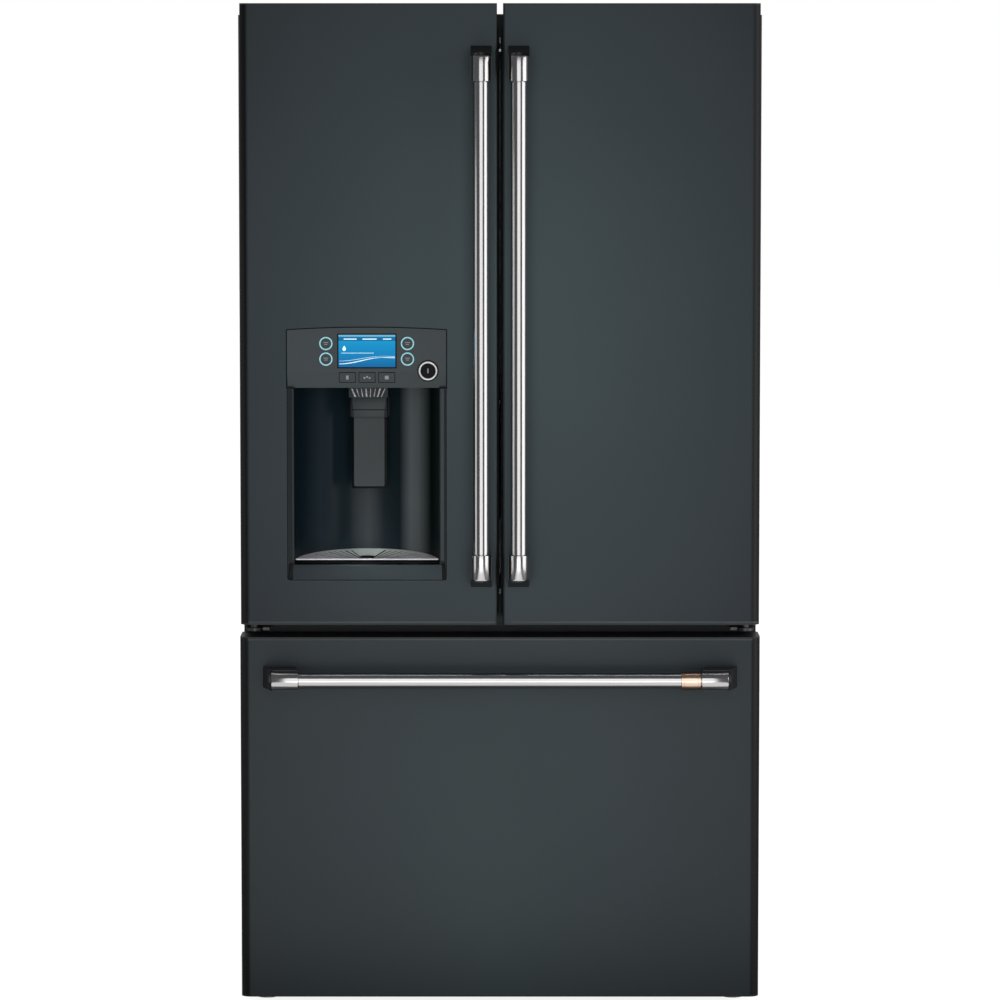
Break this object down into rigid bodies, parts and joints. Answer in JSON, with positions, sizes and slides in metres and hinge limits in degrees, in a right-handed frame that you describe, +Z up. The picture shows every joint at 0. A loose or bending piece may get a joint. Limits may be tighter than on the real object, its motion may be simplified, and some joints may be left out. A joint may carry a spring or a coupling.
{
  "type": "french door refrigerator",
  "caption": "Free-standing refrigerator with paired upper doors over a pull-out freezer drawer, bar handles and a door dispenser for water and ice.",
  "frame": {"origin": "on the floor, under the middle of the object's box", "axes": "+Z up, +Y to the back, +X to the right seen from the front"},
  "size_m": [0.908, 0.921, 1.76],
  "materials": {
    "slate_finish": "satin",
    "case_paint": "satin",
    "back_galvanised": "satin",
    "cap_plastic": "satin",
    "liner_white": "satin",
    "foam": "matte",
    "seal_rubber": "matte",
    "handle_steel": "satin",
    "post_black": "satin",
    "copper": "satin",
    "clear_plastic": "gloss",
    "shelf_glass": "gloss",
    "zinc_steel": "satin",
    "gloss_black": "gloss",
    "screen_blue": "gloss",
    "key_black": "gloss",
    "paddle_grey": "satin",
    "tray_metal": "satin",
    "compressor_black": "satin",
    "condenser_black": "matte",
    "fin_aluminium": "satin",
    "fan_plastic": "satin",
    "roller_nylon": "satin"
  },
  "bodies": {
    "cabinet": {"case_wrapper": "case_paint", "rear_panels": "back_galvanised", "base_pan": "zinc_steel", "cabinet_foam": "foam", "fresh_food_liner": "liner_white", "freezer_liner": "liner_white", "base_grille": "cap_plastic", "hinges": "zinc_steel", "hinge_covers": "cap_plastic", "glass_shelves": "shelf_glass", "shelf_supports": "zinc_steel", "produce_drawers": "clear_plastic", "air_duct": "liner_white", "compressor": "compressor_black", "condenser_unit": "condenser_black", "evaporator_coil": "fin_aluminium", "evaporator_cover": "liner_white", "levelling_legs": "zinc_steel", "outer_slides": "zinc_steel"},
    "condenser_fan_wheel": {"condenser_fan": "fan_plastic"},
    "evaporator_fan_wheel": {"evaporator_fan": "fan_plastic"},
    "rollers": {"rear_rollers": "roller_nylon"},
    "left_door": {"left_door_skin": "slate_finish", "left_door_caps": "cap_plastic", "left_door_liner": "liner_white", "left_door_gasket": "seal_rubber", "left_door_bins": "clear_plastic", "left_handle_bar": "handle_steel", "left_handle_posts": "post_black", "dispenser_housing": "gloss_black", "control_panel": "gloss_black", "display_screen": "screen_blue", "drip_tray": "tray_metal", "ice_box": "liner_white", "ice_maker": "fin_aluminium", "ice_bucket": "clear_plastic"},
    "flap": {"mullion_flap": "cap_plastic"},
    "hot_water_knob": {"hot_water_button": "key_black"},
    "water_push": {"water_key": "key_black"},
    "crushed_ice_push": {"crushed_ice_key": "key_black"},
    "cubed_ice_push": {"cubed_ice_key": "key_black"},
    "paddle": {"dispenser_paddle": "paddle_grey"},
    "right_door": {"right_door_skin": "slate_finish", "right_door_caps": "cap_plastic", "right_door_liner": "liner_white", "right_door_gasket": "seal_rubber", "right_door_bins": "clear_plastic", "right_handle_bar": "handle_steel", "right_handle_posts": "post_black"},
    "freezer_drawer": {"drawer_skin": "slate_finish", "drawer_caps": "cap_plastic", "drawer_liner": "liner_white", "drawer_gasket": "seal_rubber", "drawer_handle_bar": "handle_steel", "drawer_handle_posts": "post_black", "copper_band": "copper", "inner_slides": "zinc_steel", "lower_basket": "clear_plastic"},
    "drawer_middle_slides": {"middle_slides": "zinc_steel"},
    "sliding_basket": {"upper_basket": "clear_plastic"}
  },
  "joints": [
    {"name": "left_door_hinge", "type": "hinge", "parent": "cabinet", "child": "left_door", "pos_m": [-0.43, -0.3475, 0.7], "axis": [0, 0, -1], "range_deg": [0, 120]},
    {"name": "right_door_hinge", "type": "hinge", "parent": "cabinet", "child": "right_door", "pos_m": [0.43, -0.3475, 0.7], "axis": [0, 0, 1], "range_deg": [0, 120]},
    {"name": "drawer_slide", "type": "slide", "parent": "cabinet", "child": "freezer_drawer", "axis": [0, -1, 0], "range_m": [0, 0.45]},
    {"name": "middle_slide", "type": "slide", "parent": "cabinet", "child": "drawer_middle_slides", "axis": [0, -1, 0], "range_m": [0, 0.225]},
    {"name": "upper_basket_slide", "type": "slide", "parent": "cabinet", "child": "sliding_basket", "axis": [0, -1, 0], "range_m": [0, 0.225]},
    {"name": "flap_hinge", "type": "hinge", "parent": "left_door", "child": "flap", "pos_m": [-0.036, -0.275, 1.2], "axis": [0, 0, -1], "range_deg": [0, 90]},
    {"name": "paddle_hinge", "type": "hinge", "parent": "left_door", "child": "paddle", "pos_m": [-0.229, -0.318, 1.048], "axis": [1, 0, 0], "range_deg": [0, 8], "stiffness_Nm_per_rad": 0.6},
    {"name": "hot_water_press", "type": "slide", "parent": "left_door", "child": "hot_water_knob", "axis": [0, 1, 0], "range_m": [0, 0.003], "stiffness_N_per_m": 400},
    {"name": "water_key_press", "type": "slide", "parent": "left_door", "child": "water_push", "axis": [0, 0.9588, 0.2841], "range_m": [0, 0.0015], "stiffness_N_per_m": 500},
    {"name": "crushed_ice_key_press", "type": "slide", "parent": "left_door", "child": "crushed_ice_push", "axis": [0, 0.9588, 0.2841], "range_m": [0, 0.0015], "stiffness_N_per_m": 500},
    {"name": "cubed_ice_key_press", "type": "slide", "parent": "left_door", "child": "cubed_ice_push", "axis": [0, 0.9588, 0.2841], "range_m": [0, 0.0015], "stiffness_N_per_m": 500},
    {"name": "condenser_fan_spin", "type": "hinge", "parent": "cabinet", "child": "condenser_fan_wheel", "pos_m": [0, 0.365, 0.15], "axis": [1, 0, 0], "continuous": true},
    {"name": "evaporator_fan_spin", "type": "hinge", "parent": "cabinet", "child": "evaporator_fan_wheel", "pos_m": [0, 0.226, 0.56], "axis": [0, 1, 0], "continuous": true},
    {"name": "rear_roller_spin", "type": "hinge", "parent": "cabinet", "child": "rollers", "pos_m": [0, 0.405, 0.02], "axis": [1, 0, 0], "continuous": true}
  ],
  "couplings": [
    {"joint": "middle_slide", "follows": "drawer_slide", "ratio": 0.5},
    {"joint": "upper_basket_slide", "follows": "drawer_slide", "ratio": 0.5}
  ]
}
